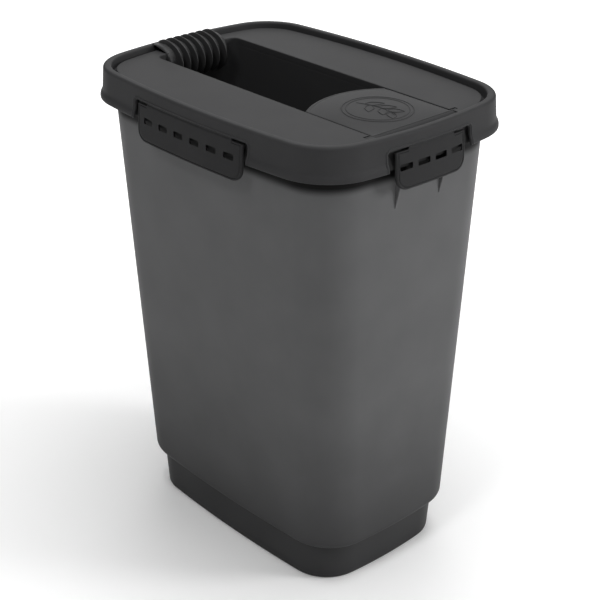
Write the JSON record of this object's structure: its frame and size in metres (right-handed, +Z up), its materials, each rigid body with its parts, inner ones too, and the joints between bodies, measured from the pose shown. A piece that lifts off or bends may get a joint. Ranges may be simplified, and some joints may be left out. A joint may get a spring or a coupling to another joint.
{
  "type": "storage bin",
  "caption": "Tapered free-standing plastic storage bin for dry food, with a clip-on lid, a hinged pour flap and a sunk hand grip.",
  "frame": {"origin": "middle of the footprint, on the surface the bin stands on", "axes": "+Z up; X along the long side, with the pour flap at +X and the ribbed grip at -X; Y across the width"},
  "size_m": [0.3522, 0.2562, 0.4651],
  "materials": {
    "smoked_plastic": "satin moulded, slightly see-through",
    "lid_plastic": "fine moulded grain",
    "flap_plastic": "fine moulded grain",
    "clip_plastic": "fine moulded grain",
    "grip_rubber": "soft matte",
    "seal_rubber": "soft matte"
  },
  "bodies": {
    "bin": {"bin": "smoked_plastic"},
    "lid": {"lid": "lid_plastic", "lid_seal": "seal_rubber", "ribbed_grip": "grip_rubber"},
    "pour_flap": {"pour_flap": "flap_plastic"},
    "clip_front": {"clip_front": "clip_plastic"},
    "clip_back": {"clip_back": "clip_plastic"},
    "clip_left": {"clip_left": "clip_plastic"},
    "clip_right": {"clip_right": "clip_plastic"}
  },
  "joints": [
    {"name": "lid_lift", "type": "slide", "parent": "bin", "child": "lid", "axis": [0, 0, 1], "range_m": [0, 0.15]},
    {"name": "flap_hinge", "type": "hinge", "parent": "lid", "child": "pour_flap", "pos_m": [0.1486, 0, 0.454], "axis": [0, 1, 0], "range_deg": [0, 105]},
    {"name": "clip_front_hinge", "type": "hinge", "parent": "lid", "child": "clip_front", "pos_m": [0, -0.1251, 0.4472], "axis": [-1, 0, 0], "range_deg": [0, 110]},
    {"name": "clip_back_hinge", "type": "hinge", "parent": "lid", "child": "clip_back", "pos_m": [0, 0.1251, 0.4472], "axis": [1, 0, 0], "range_deg": [0, 110]},
    {"name": "clip_left_hinge", "type": "hinge", "parent": "lid", "child": "clip_left", "pos_m": [-0.1731, 0, 0.4472], "axis": [0, 1, 0], "range_deg": [0, 110]},
    {"name": "clip_right_hinge", "type": "hinge", "parent": "lid", "child": "clip_right", "pos_m": [0.1731, 0, 0.4472], "axis": [0, -1, 0], "range_deg": [0, 110]}
  ]
}
